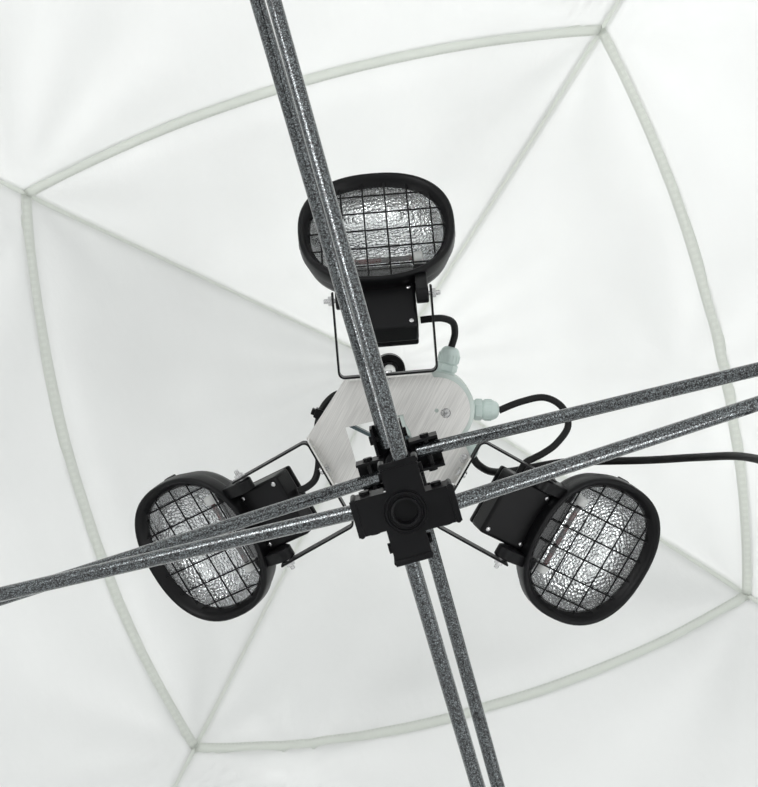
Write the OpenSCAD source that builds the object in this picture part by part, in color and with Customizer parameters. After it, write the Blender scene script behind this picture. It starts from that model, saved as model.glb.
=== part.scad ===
// Square pop-up tent on a folding scissor frame, with a kit of three floodlights round its centre pole.
// Millimetres, +Z up, origin on the floor under the centre pole. The arms lie along X and Y.

/* [Frame] */
// Distance from the centre pole to each side of the frame
half_side = 1250; // [1150:10:1500]
// Height of the upper pivots above the floor
top_level = 2050; // [1980:10:2200]
// Height between the lower and the upper pivots
scissor_rise = 270; // [250:5:300]
// Outside diameter of the scissor tubes
tube_d = 16; // [15:0.5:16]
// Wall of the scissor tubes
tube_wall = 1.2; // [1:0.1:2]
// Distance from a hub's centre to its pivots
pivot_reach = 36; // [36:1:38]

/* [Legs] */
// Outside diameter of the upper leg tube
leg_d = 28; // [26:1:28]
// Height of the upper leg tube's lower end
leg_bottom = 850; // [800:10:880]
// Height of the lower leg's top end
inner_top = 1250; // [1150:10:1280]
// Diameter of the foot plate
foot_d = 80; // [60:5:100]

/* [Canopy] */
// Rise of the peak above the upper pivots
peak_rise = 1150; // [1050:10:1250]
// Rise of the square seam above the upper pivots
seam_rise = 660; // [600:10:700]
// Half the width of the square seam
seam_half = 470; // [420:10:520]
// Drop of the valance below the eaves
valance_drop = 250; // [150:10:250]

/* [Lighting kit] */
// Turn of the lighting kit about the pole
kit_turn = 16; // [0:1:30]
// Height of the mounting plate above the upper pivots
plate_rise = 110; // [110:1:130]
// Distance from the kit's centre to each yoke's base
yoke_reach = 92; // [90:1:96]
// Distance from the kit's centre to each lamp's pivot
lamp_pivot_reach = 187; // [180:1:195]
// Length of a lamp's rim across the yoke
rim_w = 200; // [190:1:205]
// Depth of a lamp's rim away from the yoke
rim_h = 175; // [160:1:178]
// Outward tilt of the first lamp from straight down
tilt_1 = 40; // [0:1:55]
// Outward tilt of the second lamp
tilt_2 = 27; // [0:1:55]
// Outward tilt of the third lamp
tilt_3 = 20; // [15:1:25]

/* [Supply cord] */
// Outside diameter of the supply cord
cord_d = 10; // [8:0.5:11]
// Outside diameter of the lamp leads
lead_d = 9; // [7:0.5:9]

/* [Hidden] */
SIDES = ["e", "n", "w", "s"];
CORNERS = ["ne", "nw", "sw", "se"];

$fn = 40;
low_level = top_level - scissor_rise;
span = half_side - 2 * pivot_reach;
bar_angle = atan2(scissor_rise, span);
bar_length = norm([span, scissor_rise]);
tube_r = tube_d / 2;
// Each tube runs beside the hub's centre line, so that a crossing pair clears
bar_offset = tube_r + 1;
end_past_pivot = 12;
pin_r = 3;
bore_r = 3.05;

// Sockets of the hubs and brackets
socket_end = 51;
socket_start = 19;
socket_offset = 5;
socket_inner = 16;
socket_wall = 3;
cheek_reach = 12;
floor_gap = 16;
core_r = 19;
core_bore_r = 12;
leg_r = leg_d / 2;
leg_bore_r = leg_r - 1.4;
inner_r = leg_bore_r - 0.1;
sleeve_bore_r = leg_r + 0.1;
sleeve_r = 18.5;
foot_thick = 6;

// Canopy rings as [half width, height], outside and inside
cloth = 1.5;
eave_half = half_side + 40;
eave_level = top_level + 60;
OUTER = [[eave_half, eave_level - valance_drop], [eave_half, eave_level],
         [seam_half, top_level + seam_rise], [36, top_level + peak_rise]];
INNER = [[eave_half - cloth, eave_level - valance_drop], [eave_half - cloth, eave_level - cloth],
         [seam_half - cloth, top_level + seam_rise - cloth], [34, top_level + peak_rise - cloth]];

pole_r = 11;
pole_base = top_level + floor_gap + socket_wall;
pole_top = top_level + peak_rise - 45;
cup_r = 30;

plate_z = top_level + plate_rise;
plate_thick = 2;
kit_centre = [4, 7, plate_z];
clamp_turn = 42;
yoke_turns = [85, -30, 209];
lamp_tilts = [tilt_1, tilt_2, tilt_3];
yoke_half = 62;
strip_w = 22;
strip_thick = 3;
pivot_drop = 11;
rim_reach = 110;
housing_depth = 82;
box_centre = [-53, 44];
box_r = 48;
box_h = 50;
gland_z = 27;

// Supply cord, from its gland over the arm, down to the floor and into the coil
CORD = [[-88, -40.5, 2187], [-92, -51, 2188], [-105, -66, 2203], [-129, -77, 2226], [-162, -83, 2242],
        [-201, -87, 2240], [-246, -95, 2220], [-302, -101, 2172], [-352, -101, 2110], [-387, -95, 2020],
        [-402, -92, 1900], [-408, -92, 1700], [-410, -92, 1400], [-410, -96, 1000], [-410, -100, 600],
        [-410, -106, 250], [-410, -118, 90], [-408, -142, 22], [-404, -180, 7], [-402, -230, 5.5],
        [-402, -292, 5.5]];
coil_centre = [-322, -300, 0];
coil_outer = 85;
coil_inner = 48;
coil_h = 20;
plug_at = [-254, -380, 19];

// Lamp leads in the kit's own axes, from gland to terminal box
LEADS = [
    [[-72, 122, 27], [-76, 138, 25], [-73, 153, 17], [-60, 159, 9], [-44, 158.5, 6], [-32, 157, 5.4]],
    [[27, 44, 27], [48, 56, 28], [70, 62, 25], [88, 48, 18], [96, 26, 11], [96, 2, 8], [95, -24, 8],
     [99, -44, 7], [109, -54, 4], [121, -59, 2]],
    [[-133, 41, 27], [-160, 52, 27], [-190, 58, 26], [-213, 46, 25], [-221, 22, 24], [-207, 0, 23],
     [-191, -12, 21], [-178, -18.5, 18.5], [-167.3, -24.1, 16.3], [-160.2, -35.1, 15.1]]
];

// Catmull-Rom point between b and c
function spline(a, b, c, d, t) =
    0.5 * (2 * b + (c - a) * t + (2 * a - 5 * b + 4 * c - d) * t * t + (3 * b - a - 3 * c + d) * t * t * t);
function smooth(p, n) = concat(
    [for (i = [0:len(p) - 2], k = [0:n - 1])
        spline(p[max(i - 1, 0)], p[i], p[i + 1], p[min(i + 2, len(p) - 1)], k / n)],
    [p[len(p) - 1]]);
function unit(v) = v / norm(v);
function heading(p, i) = unit(p[min(i + 1, len(p) - 1)] - p[max(i - 1, 0)]);

// Closed tube along the points p, with its rings square to the path
module sweep(p, r, sides, side_dir) {
    rings = [for (i = [0:len(p) - 1])
        let (t = heading(p, i), u = unit(cross(t, side_dir)), v = cross(t, u))
        for (k = [0:sides - 1]) p[i] + r * (cos(360 * k / sides) * u + sin(360 * k / sides) * v)];
    walls = [for (i = [0:len(p) - 2], k = [0:sides - 1])
        let (a = i * sides + k, b = i * sides + (k + 1) % sides)
        [a, a + sides, b + sides, b]];
    last = (len(p) - 1) * sides;
    polyhedron(rings, concat(walls, [[for (k = [0:sides - 1]) k]],
        [[for (k = [sides - 1:-1:0]) last + k]]), convexity = 6);
}

// Scissor tube from its pivot at the origin, along +X, bored for three pivots
module bar(middle_pin) {
    difference() {
        translate([-end_past_pivot, 0, 0]) rotate([0, 90, 0])
            cylinder(r = tube_r, h = bar_length + 2 * end_past_pivot);
        translate([-end_past_pivot - 1, 0, 0]) rotate([0, 90, 0])
            cylinder(r = tube_r - tube_wall, h = bar_length + 2 * end_past_pivot + 2);
        for (x = [0, bar_length / 2, bar_length])
            translate([x, 0, 0]) rotate([90, 0, 0]) cylinder(r = bore_r, h = 2 * tube_r + 2, center = true);
    }
    // The crossing bolt belongs to one tube of each pair
    if (middle_pin) translate([bar_length / 2, 0, 0]) rotate([90, 0, 0]) {
        translate([0, 0, -tube_r - 1]) cylinder(r = pin_r, h = 4 * tube_r + 4);
        translate([0, 0, -tube_r - 4]) cylinder(r = 6, h = 3.5);
        translate([0, 0, 3 * tube_r + 2.5]) cylinder(r = 6, h = 3.5);
    }
}
// A rising tube starts at the low pivot, a falling tube at the high one
module rising_bar() {
    color("dimgray") translate([pivot_reach, bar_offset, low_level]) rotate([0, -bar_angle, 0]) bar(true);
}
module falling_bar() {
    color("dimgray") translate([pivot_reach, -bar_offset, top_level]) rotate([0, bar_angle, 0]) bar(false);
}

// One box socket along +X, closed below and open above, with its pivot bores
module socket() {
    translate([0, socket_offset, 0]) {
        translate([socket_start - 9, -socket_inner - socket_wall, -floor_gap - socket_wall])
            cube([socket_end - socket_start + 9, 2 * (socket_inner + socket_wall), socket_wall]);
        for (side = [-1, 1]) difference() {
            translate([socket_start - 2, side * (socket_inner + socket_wall / 2) - socket_wall / 2, -floor_gap - 1])
                cube([socket_end - socket_start + 2, socket_wall, floor_gap + 1 + cheek_reach]);
            translate([pivot_reach, side * (socket_inner + socket_wall / 2), 0]) rotate([90, 0, 0])
                cylinder(r = bore_r, h = socket_wall + 2, center = true);
        }
    }
}
module pivot_bolt() {
    outside = socket_inner + socket_wall + 0.1;
    translate([pivot_reach, socket_offset, 0]) rotate([90, 0, 0]) {
        cylinder(r = pin_r, h = 2 * outside + 2, center = true);
        for (side = [-1, 1]) translate([0, 0, side * (outside + 1.75)])
            cylinder(r = 5.5, h = 3.5, center = true);
    }
}
// Hub or bracket with a socket at each turn
module block(turns, hole_r, outer_r) {
    difference() {
        union() {
            for (a = turns) rotate([0, 0, a]) socket();
            translate([0, 0, -floor_gap - socket_wall])
                cylinder(r = outer_r, h = floor_gap + socket_wall + cheek_reach);
        }
        translate([0, 0, -floor_gap - socket_wall - 1])
            cylinder(r = hole_r, h = floor_gap + socket_wall + cheek_reach + 2);
    }
    for (a = turns) rotate([0, 0, a]) pivot_bolt();
}
module lower_block(turns, hole_r = core_bore_r, outer_r = core_r) {
    color("#1c1c1e") translate([0, 0, low_level]) block(turns, hole_r, outer_r);
}
module upper_block(turns, hole_r = core_bore_r, outer_r = core_r) {
    color("#1c1c1e") translate([0, 0, top_level]) rotate([180, 0, 0]) block(turns, hole_r, outer_r);
}

module lower_hub() {
    lower_block([0, 90, 180, 270]);
}
module upper_hub() {
    upper_block([0, 90, 180, 270]);
}
module mid_block(i, upper) {
    rotate([0, 0, 90 * i]) translate([half_side, 0, 0])
        if (upper) upper_block([90, 180, 270]);
        else lower_block([90, 180, 270]);
}
module centre_pole() {
    color("gainsboro") translate([0, 0, pole_base]) difference() {
        cylinder(r = pole_r, h = pole_top - pole_base);
        translate([0, 0, -1]) cylinder(r = pole_r - 1.2, h = pole_top - pole_base + 2);
    }
}
module peak_cup() {
    color("#1c1c1e") translate([0, 0, pole_top - 25]) difference() {
        cylinder(r = cup_r, h = 32);
        translate([0, 0, -1]) cylinder(r = pole_r + 0.05, h = 26);
        translate([0, 0, -1]) rotate_extrude() translate([pole_r + 5, 0]) square([11, 20]);
    }
}

// Square rings of points, joined outside, along the hem, inside and across the top
module canopy() {
    rings = concat(OUTER, [for (i = [len(INNER) - 1:-1:0]) INNER[i]]);
    points = [for (r = rings, c = [[1, 1], [-1, 1], [-1, -1], [1, -1]]) [c[0] * r[0], c[1] * r[0], r[1]]];
    top = len(OUTER) - 1;
    walls = [for (i = [0:len(rings) - 1], k = [0:3]) if (i != top)
        let (j = (i + 1) % len(rings))
        [4 * i + k, 4 * j + k, 4 * j + (k + 1) % 4, 4 * i + (k + 1) % 4]];
    color("whitesmoke") polyhedron(points,
        concat(walls, [[for (k = [3:-1:0]) 4 * top + k], [for (k = [0:3]) 4 * (top + 1) + k]]), convexity = 4);
}
// Two opposite gores, cut along the hips; the first pair keeps the flat top
module canopy_pair(turn) {
    far = eave_half + 10;
    flat = OUTER[len(OUTER) - 1][0];
    intersection() {
        canopy();
        translate([0, 0, top_level - 300]) linear_extrude(peak_rise + 400)
            if (turn == 0)
                polygon([[flat, flat], [far, far], [far, -far], [flat, -flat],
                    [-flat, -flat], [-far, -far], [-far, far], [-flat, flat]]);
            else
                for (side = [-1, 1])
                    polygon([[-flat, side * flat], [flat, side * flat], [far, side * far], [-far, side * far]]);
    }
}

// Half of one side: the near bracket stands at the middle, the corner at its far end
module side_bar(i, k, rising) {
    rotate([0, 0, 90 * i]) translate([half_side, 0, 0]) rotate([0, 0, k == 0 ? 90 : -90])
        if (rising) rising_bar();
        else falling_bar();
}
module at_corner(i) {
    rotate([0, 0, 90 * i]) translate([half_side, half_side, 0]) children();
}
module leg(i) {
    at_corner(i) {
        upper_block([180, 90], leg_r - 6, core_r);
        color("dimgray") translate([0, 0, leg_bottom]) difference() {
            cylinder(r = leg_r, h = top_level - cheek_reach - leg_bottom);
            translate([0, 0, -1]) cylinder(r = leg_bore_r, h = top_level - leg_bottom);
        }
    }
}
module slider(i) {
    at_corner(i) lower_block([180, 270], sleeve_bore_r, sleeve_r);
}
module inner_leg(i) {
    at_corner(i) color("silver") {
        difference() {
            translate([0, 0, foot_thick]) cylinder(r = inner_r, h = inner_top - foot_thick);
            translate([0, 0, foot_thick + 4]) cylinder(r = inner_r - 1.5, h = inner_top);
        }
        cylinder(d = foot_d, h = foot_thick);
    }
}

module in_kit() {
    translate(kit_centre) rotate([0, 0, kit_turn]) children();
}
// Faces outwards from the kit's centre along +X, with +Y across the yoke
module at_yoke(i) {
    in_kit() rotate([0, 0, yoke_turns[i]]) children();
}
module light_plate() {
    flanges = [[-53, 53], [-5, 60], [-35, 4]];
    color("lightgray") {
        in_kit() linear_extrude(plate_thick) difference() {
            union() {
                polygon([[-45, 94], [61, 85], [110, 8], [78, -48], [39, -51], [61, 22], [-13, 39.6],
                         [-40.5, -48], [-78, -48], [-97, -16]]);
                translate(box_centre) circle(r = 42);
            }
            translate(box_centre) circle(r = 2.6);
        }
        for (i = [0:2]) at_yoke(i)
            translate([yoke_reach - 4, flanges[i][0], -strip_w]) cube([2, flanges[i][1] - flanges[i][0], strip_w + 1]);
    }
}
// Web on edge across the plate's notch, with a foot at each end and a collar bored for the pole
module pole_clamp() {
    color("darkslategray") translate([0, 0, plate_z + 2.2]) {
        difference() {
            union() {
                cylinder(r = 19, h = 22);
                rotate([0, 0, clamp_turn]) {
                    translate([-46, -2, 0]) cube([128, 4, 14]);
                    for (x = [-56, 72]) translate([x, -7, 0]) cube([20, 14, 3]);
                }
            }
            translate([0, 0, -1]) cylinder(r = pole_r + 0.05, h = 40);
        }
        rotate([0, 0, clamp_turn]) for (x = [-51, 87]) translate([x, 0, 2.9]) cylinder(r = 4.5, h = 4);
    }
}
module lamp_yokes() {
    color("#151515") for (i = [0:2]) at_yoke(i) translate([yoke_reach, 0, -strip_w]) {
        translate([-1.9, -yoke_half, 0]) cube([strip_thick, 2 * yoke_half, strip_w]);
        for (side = [-1, 1]) difference() {
            translate([-1.9, side * (yoke_half - strip_thick / 2) - strip_thick / 2, 0])
                cube([lamp_pivot_reach - yoke_reach + 14, strip_thick, strip_w]);
            translate([lamp_pivot_reach - yoke_reach, side * (yoke_half - strip_thick / 2), strip_w - pivot_drop])
                rotate([90, 0, 0]) cylinder(r = bore_r, h = 2 * strip_thick, center = true);
        }
    }
}
module gland(turn, reach) {
    translate([box_centre[0], box_centre[1], gland_z]) rotate([0, 0, turn]) rotate([0, 90, 0])
        difference() {
            union() {
                translate([0, 0, box_r - 6]) cylinder(r = 11, h = reach - box_r + 4);
                translate([0, 0, box_r + 1]) cylinder(r = 14, h = 9, $fn = 6);
                translate([0, 0, box_r + 12]) cylinder(r = 13, h = reach - box_r - 12);
            }
            translate([0, 0, reach - 22]) cylinder(r = lead_d / 2 + 0.6, h = 30);
        }
}
module junction_box() {
    in_kit() {
        color("honeydew") translate([box_centre[0], box_centre[1], plate_thick + 0.2]) {
            difference() {
                cylinder(r = box_r, h = box_h);
                translate([0, 0, 3]) cylinder(r = box_r - 3, h = box_h - 8);
            }
        }
        color("whitesmoke") {
            gland(90 + 14, 80);
            gland(0, 80);
            gland(180 + 2, 80);
            gland(233, 80);
        }
    }
}

// Oval outline of a lamp, shrunk by inset
module oval(inset, size = 1) {
    w = rim_w * size - 2 * inset;
    h = rim_h * size - 2 * inset;
    r = h * 0.42;
    hull() for (x = [-1, 1], y = [-1, 1])
        translate([x * (h / 2 - r), y * (w / 2 - r)]) circle(r = r, $fn = 32);
}
// Lamp with its rim facing down: +X away from the pivot, +Y across
module lamp(i) {
    at_yoke(i) translate([lamp_pivot_reach, 0, -pivot_drop]) rotate([0, -lamp_tilts[i], 0]) {
        color("#1a1a1a") {
            translate([rim_reach, 0, 0]) {
                difference() {
                    union() {
                        translate([0, 0, -8]) linear_extrude(12) oval(0);
                        linear_extrude(42) oval(8);
                        translate([-4, 0, 40]) linear_extrude(housing_depth - 40) oval(14, 0.72);
                    }
                    translate([0, 0, -9]) linear_extrude(48) oval(13);
                    translate([-4, 0, 42.5]) linear_extrude(housing_depth - 45.5) oval(17, 0.72);
                }
            }
            // Terminal box on the pivot side
            difference() {
                translate([-38, -42, 12]) cube([rim_reach - 42, 84, 44]);
                translate([-35, -39, 15]) cube([rim_reach - 48, 78, 38]);
            }
            for (side = [-1, 1]) difference() {
                translate([-12, side * (yoke_half - 6.5) - 2, -9]) cube([36, 4, 30]);
                translate([0, side * (yoke_half - 6.5), 0]) rotate([90, 0, 0])
                    cylinder(r = bore_r, h = 8, center = true);
            }
            for (side = [-1, 1]) translate([8, side > 0 ? 40 : 4.5 - yoke_half, 12]) cube([16, yoke_half - 44.5, 9]);
        }
        color("aliceblue") translate([rim_reach, 0, -5]) linear_extrude(4) oval(13.2);
        // Halogen burner in its two holders
        color("white") translate([rim_reach - 22, 0, 16]) rotate([90, 0, 0]) {
            cylinder(r = 5, h = 92, center = true);
            for (side = [-1, 1]) translate([0, 0, side * 50]) cylinder(r = 9, h = 14, center = true);
        }
        color("silver") rotate([90, 0, 0]) for (side = [-1, 1]) {
            translate([0, 0, side * (yoke_half - 3)]) cylinder(r = pin_r, h = 14, center = true);
            translate([0, 0, side * (yoke_half + 2.2)]) cylinder(r = 6, h = 4, center = true);
        }
    }
}
module lamp_leads() {
    color("#222222") for (p = LEADS) in_kit() sweep(smooth(p, 3), lead_d / 2, 8, [0, 0, 1]);
}

// The turns of the coil on the floor are one ring with the cord's end in it
module supply_cord() {
    color("#222222") union() {
        sweep(smooth(CORD, 4), cord_d / 2, 8, [1, -1, 0.4]);
        translate(coil_centre) rotate_extrude()
            translate([coil_inner, 0]) square([coil_outer - coil_inner, coil_h]);
    }
}
// Lies against the coil, with its tail hollowed to the coil's side
module cord_plug() {
    color("#111111") difference() {
        translate(plug_at) rotate([0, 90, 0]) {
            cylinder(r = 19, h = 42);
            translate([0, 0, -31]) cylinder(r = 9, h = 32);
        }
        translate(coil_centre) cylinder(r = coil_outer, h = 60);
    }
    color("silver") translate(plug_at) for (y = [-9.5, 9.5])
        translate([41, y, 0]) rotate([0, 90, 0]) cylinder(r = 2.4, h = 19);
}

lower_hub();
upper_hub();
centre_pole();
peak_cup();
canopy_pair(0);  // canopy_ew
canopy_pair(90);  // canopy_ns
for (i = [0:3]) {
    rotate([0, 0, 90 * i]) rising_bar();
    rotate([0, 0, 90 * i]) falling_bar();
    mid_block(i, true);
    mid_block(i, false);
    for (k = [0, 1]) {
        side_bar(i, k, true);
        side_bar(i, k, false);
    }
    leg(i);
    slider(i);
    inner_leg(i);
}
light_plate();
pole_clamp();
lamp_yokes();
junction_box();
for (i = [0:2]) {
    lamp(i);
}
lamp_leads();
supply_cord();
cord_plug();
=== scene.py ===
# Folding pop-up tent with three floodlights round its centre pole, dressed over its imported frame.
import math
import bpy
import bmesh
from mathutils import Matrix, Vector, noise


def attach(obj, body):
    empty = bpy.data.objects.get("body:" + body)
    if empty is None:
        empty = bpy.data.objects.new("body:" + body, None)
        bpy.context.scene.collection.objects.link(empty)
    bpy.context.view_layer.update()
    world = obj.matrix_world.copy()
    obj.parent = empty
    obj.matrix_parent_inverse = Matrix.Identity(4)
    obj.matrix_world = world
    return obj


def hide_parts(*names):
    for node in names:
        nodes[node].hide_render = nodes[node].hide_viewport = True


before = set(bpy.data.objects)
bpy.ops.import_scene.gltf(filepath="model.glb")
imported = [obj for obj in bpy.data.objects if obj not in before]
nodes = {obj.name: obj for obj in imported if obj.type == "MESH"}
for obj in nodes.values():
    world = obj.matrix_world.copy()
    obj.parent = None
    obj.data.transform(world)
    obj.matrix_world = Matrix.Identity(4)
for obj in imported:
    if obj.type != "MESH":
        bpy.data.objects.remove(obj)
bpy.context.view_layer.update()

# ---------------------------------------------------------------- driving sizes, in metres
TOP_LEVEL = 2.05
LOW_LEVEL = 1.78
EAVE_HALF = 1.29
EAVE_LEVEL = 2.11
HEM_LEVEL = 1.86
SEAM_HALF = 0.47
SEAM_LEVEL = TOP_LEVEL + 0.66
PEAK_HALF = 0.036
PEAK_LEVEL = TOP_LEVEL + 1.15
SEAM_BOW = 0.045
PLATE_LEVEL = TOP_LEVEL + 0.11
KIT_TURN = 16
CLAMP_TURN = 42
LAMP_PIVOT = 0.187
YOKE_TURNS = (85, -30, 209)
LAMP_TILTS = (40, 27, 20)
YOKE_HALF = 0.062
PIVOT_DROP = 0.011
RIM_REACH = 0.110
RIM_HALF_W = 0.100
RIM_HALF_H = 0.0875
BOX_CENTRE = Vector((-0.053, 0.044, 0.0))
BOX_R = 0.048
GLAND_LEVEL = 0.027
GLAND_TURNS = (104, 0, 182, 233)
LEAD_D = 0.009
CORD_D = 0.010

KIT = Matrix.Translation((0.004, 0.007, PLATE_LEVEL)) @ Matrix.Rotation(math.radians(KIT_TURN), 4, "Z")

# ---------------------------------------------------------------- camera and lights
def make_camera():
    """Near the floor, looking up through the frame into the peak."""
    forward = Vector((0.027, -0.1146, 0.993)).normalized()
    heading = math.radians(195.75)
    right = Vector((math.cos(heading), math.sin(heading), 0.0))
    right = (right - forward * right.dot(forward)).normalized()
    up = right.cross(forward)
    data = bpy.data.cameras.new("camera")
    data.sensor_fit = "HORIZONTAL"
    data.sensor_width = 36.0
    data.lens = 72.6
    data.clip_start = 0.02
    data.dof.use_dof = False
    cam = bpy.data.objects.new("camera", data)
    turn = Matrix((right, up, -forward)).transposed().to_4x4()
    cam.matrix_world = Matrix.Translation((-0.047, 0.294, 0.263)) @ turn
    bpy.context.scene.collection.objects.link(cam)
    bpy.context.scene.camera = cam


def area_light(name, at, aim, size, power, color=(1, 1, 1)):
    data = bpy.data.lights.new(name, "AREA")
    data.shape = "DISK"
    data.size = size
    data.energy = power
    data.color = color
    obj = bpy.data.objects.new(name, data)
    obj.location = at
    obj.rotation_euler = (Vector(aim) - Vector(at)).to_track_quat("-Z", "Y").to_euler()
    obj.visible_camera = False
    bpy.context.scene.collection.objects.link(obj)


def make_light():
    world = bpy.data.worlds.new("studio")
    bpy.context.scene.world = world
    world.use_nodes = True
    background = world.node_tree.nodes["Background"]
    background.inputs["Color"].default_value = (0.93, 0.95, 0.97, 1)
    background.inputs["Strength"].default_value = 0.92
    area_light("sky_panel", (-1.4, 1.2, 6.0), (0, 0, 2.4), 4.5, 235)
    area_light("low_key", (0.75, 0.9, 0.9), (0.0, 0.0, 2.2), 0.7, 7)
    area_light("low_fill", (-0.9, -0.7, 0.8), (-0.1, 0.0, 2.1), 0.5, 4)
    view = bpy.context.scene.view_settings
    view.view_transform = "Standard"


def make_floor():
    bpy.ops.mesh.primitive_plane_add(size=14)
    floor = bpy.context.active_object
    floor.name = "studio_floor"
    floor.location.z = -0.0006
    mat = bpy.data.materials.new("floor_pale")
    mat.use_nodes = True
    shader = mat.node_tree.nodes["Principled BSDF"]
    shader.inputs["Base Color"].default_value = (0.80, 0.80, 0.79, 1)
    shader.inputs["Roughness"].default_value = 0.8
    floor.data.materials.append(mat)


# ---------------------------------------------------------------- materials
class Shader:
    """A principled material and short ways to add texture nodes in object space."""

    def __init__(self, name, color, rough, metal=0.0):
        self.mat = bpy.data.materials.new(name)
        self.mat.use_nodes = True
        self.tree = self.mat.node_tree
        self.bsdf = self.tree.nodes["Principled BSDF"]
        self.bsdf.inputs["Base Color"].default_value = (*color, 1)
        self.bsdf.inputs["Roughness"].default_value = rough
        self.bsdf.inputs["Metallic"].default_value = metal
        self.coords = self.tree.nodes.new("ShaderNodeTexCoord").outputs["Object"]

    def add(self, kind, inputs=None, **settings):
        node = self.tree.nodes.new("ShaderNode" + kind)
        for key, value in settings.items():
            setattr(node, key, value)
        for key, value in (inputs or {}).items():
            if isinstance(value, bpy.types.NodeSocket):
                self.tree.links.new(value, node.inputs[key])
            else:
                node.inputs[key].default_value = value
        return node

    def link(self, out, target):
        self.tree.links.new(out, target)

    def stretched(self, sx, sy, sz):
        return self.add("Mapping", {"Vector": self.coords, "Scale": (sx, sy, sz)}).outputs["Vector"]

    def noise(self, scale, detail=2.0, coords=None):
        node = self.add("TexNoise", {"Vector": coords or self.coords, "Scale": scale, "Detail": detail})
        return node.outputs["Fac"]

    def cells(self, scale, feature="F1", coords=None):
        node = self.add("TexVoronoi", {"Vector": coords or self.coords, "Scale": scale}, feature=feature)
        return node.outputs["Distance"]

    def ramp(self, fac, stops):
        node = self.add("ValToRGB", {"Fac": fac})
        line = node.color_ramp
        while len(line.elements) < len(stops):
            line.elements.new(0.5)
        for element, (place, color) in zip(line.elements, stops):
            element.position = place
            element.color = (*color, 1) if len(color) == 3 else color
        return node.outputs["Color"]

    def grey(self, fac, low, high, start=0.0, end=1.0):
        node = self.add("MapRange", {"Value": fac, "From Min": start, "From Max": end,
                                     "To Min": low, "To Max": high})
        return node.outputs["Result"]

    def bump(self, height, strength, distance, below=None):
        inputs = {"Height": height, "Strength": strength, "Distance": distance}
        if below:
            inputs["Normal"] = below
        normal = self.add("Bump", inputs).outputs["Normal"]
        self.link(normal, self.bsdf.inputs["Normal"])
        return normal


def hammered_tube():
    """Black enamel with silver speckle, as on hammer-finish steel tube."""
    s = Shader("hammered_tube", (0.05, 0.05, 0.055), 0.3, 0.75)
    warp = s.noise(420, 2)
    cells = s.cells(620)
    mixed = s.add("Math", {0: cells, 1: s.grey(warp, -0.3, 0.3)}, operation="ADD").outputs["Value"]
    fleck, middle, base = (0.34, 0.38, 0.39), (0.12, 0.135, 0.14), (0.014, 0.014, 0.015)
    color = s.ramp(mixed, [(0.10, fleck), (0.34, middle), (0.64, base)])
    s.link(color, s.bsdf.inputs["Base Color"])
    s.link(s.grey(mixed, 0.16, 0.30), s.bsdf.inputs["Roughness"])
    s.bsdf.inputs["Coat Weight"].default_value = 1.0
    s.bsdf.inputs["Coat Roughness"].default_value = 0.10
    s.bump(mixed, 0.30, 0.0003)
    return s.mat


def moulded(name, color, rough=0.42, grain=900, strength=0.18, shine=0.5):
    s = Shader(name, color, rough)
    s.bsdf.inputs["Specular IOR Level"].default_value = shine
    shade = s.noise(14, 3)
    pale = tuple(min(1, c * 1.25 + 0.004) for c in color)
    s.link(s.ramp(shade, [(0.35, color), (0.75, pale)]), s.bsdf.inputs["Base Color"])
    s.link(s.grey(s.noise(40), rough - 0.06, rough + 0.08), s.bsdf.inputs["Roughness"])
    s.bump(s.noise(grain, 1), strength, 0.0004)
    return s.mat


def brushed():
    s = Shader("brushed_sheet", (0.66, 0.66, 0.64), 0.4, 0.6)
    turned = s.add("Mapping", {"Vector": s.coords, "Rotation": (0, 0, math.radians(-KIT_TURN - 118))}).outputs[0]
    streak = s.add("Mapping", {"Vector": turned, "Scale": (7.0, 330.0, 40.0)}).outputs[0]
    grain = s.noise(4.0, 4, streak)
    cloud = s.noise(22, 3)
    tone = s.ramp(grain, [(0.25, (0.60, 0.59, 0.57)), (0.75, (0.86, 0.85, 0.82))])
    s.link(tone, s.bsdf.inputs["Base Color"])
    both = s.add("Math", {0: grain, 1: cloud}, operation="MULTIPLY").outputs[0]
    s.link(s.grey(both, 0.34, 0.55, 0.1, 0.5), s.bsdf.inputs["Roughness"])
    s.bump(grain, 0.15, 0.0003)
    return s.mat


def reflector():
    """Bright metal pressed into small pebbles."""
    s = Shader("pebbled_reflector", (0.97, 0.98, 0.98), 0.16, 1.0)
    pebbles = s.add("TexVoronoi", {"Vector": s.coords, "Scale": 215.0, "Randomness": 0.62}, feature="F1")
    s.bump(pebbles.outputs["Distance"], 0.8, 0.0022)
    return s.mat


def lamp_enamel():
    s = Shader("lamp_enamel", (0.005, 0.005, 0.0055), 0.34)
    s.bsdf.inputs["Specular IOR Level"].default_value = 0.2
    s.bump(s.noise(700, 2), 0.35, 0.0004)
    s.link(s.grey(s.noise(60, 3), 0.30, 0.46), s.bsdf.inputs["Roughness"])
    return s.mat


def clear_glass():
    s = Shader("lamp_glass", (0.96, 0.98, 0.98), 0.02)
    clear = s.add("BsdfTransparent", {"Color": (0.985, 0.99, 0.99, 1)})
    shine = s.add("BsdfGlossy", {"Color": (1, 1, 1, 1), "Roughness": 0.03})
    edge = s.add("Fresnel", {"IOR": 1.45})
    blend = s.add("MixShader", {0: edge.outputs[0], 1: clear.outputs[0], 2: shine.outputs[0]})
    s.link(blend.outputs[0], s.tree.nodes["Material Output"].inputs["Surface"])
    return s.mat


def quartz():
    s = Shader("burner_quartz", (0.75, 0.72, 0.68), 0.08)
    s.bsdf.inputs["Transmission Weight"].default_value = 0.15
    tone = s.ramp(s.noise(60), [(0.45, (0.09, 0.006, 0.005)), (0.55, (0.012, 0.004, 0.004))])
    s.link(tone, s.bsdf.inputs["Base Color"])
    return s.mat


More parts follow.
